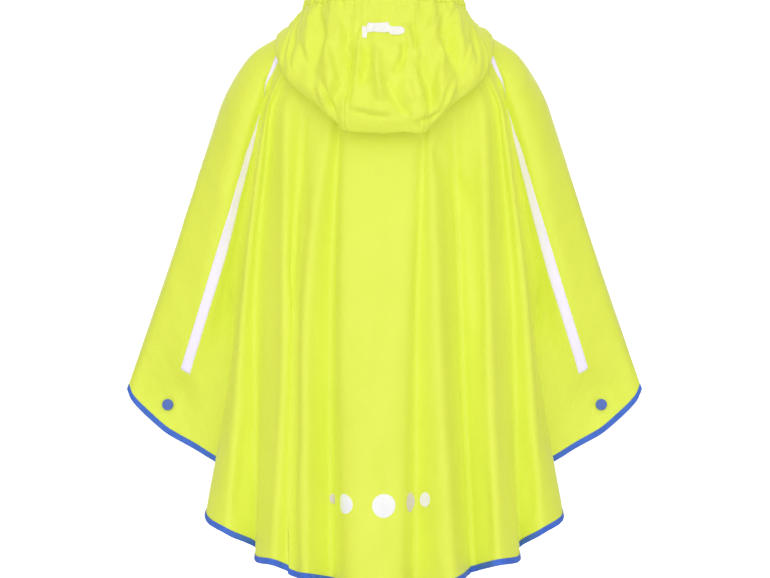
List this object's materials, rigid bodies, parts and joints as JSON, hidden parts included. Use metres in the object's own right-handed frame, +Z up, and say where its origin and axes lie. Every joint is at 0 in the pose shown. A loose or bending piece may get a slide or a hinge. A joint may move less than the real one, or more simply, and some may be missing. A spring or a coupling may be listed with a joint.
{
  "type": "rain poncho",
  "caption": "Child's rain poncho as worn, hood down on the back, with a gathered neck opening, deep folds, a bound hem, wing press studs and reflective tapes and dots.",
  "frame": {"origin": "middle of the neck opening at shoulder height, where the wearer's neck and shoulders hold the garment", "axes": "+Z up; the back of the garment faces -Y; its left wing, seen from behind, points to -X"},
  "size_m": [0.5946, 0.3406, 0.6715],
  "materials": {
    "cloth": "coated woven cloth with a soft shine",
    "binding": "matt woven tape",
    "reflective": "retroreflective film, satin",
    "stud": "moulded, slightly glossy"
  },
  "bodies": {
    "root": {"back_panel": "cloth", "front_panel": "cloth", "hood_left": "cloth", "hood_centre": "cloth", "hood_right": "cloth", "hood_elastic": "cloth", "binding_back": "binding", "binding_front": "binding", "tape_left": "reflective", "tape_right": "reflective", "dot_1": "reflective", "dot_2": "reflective", "dot_3": "reflective", "dot_4": "reflective", "dot_5": "reflective", "hood_tab": "reflective", "stud_cap_left": "stud", "stud_cap_right": "stud", "stud_base_left": "stud", "stud_base_right": "stud"}
  },
  "joints": []
}
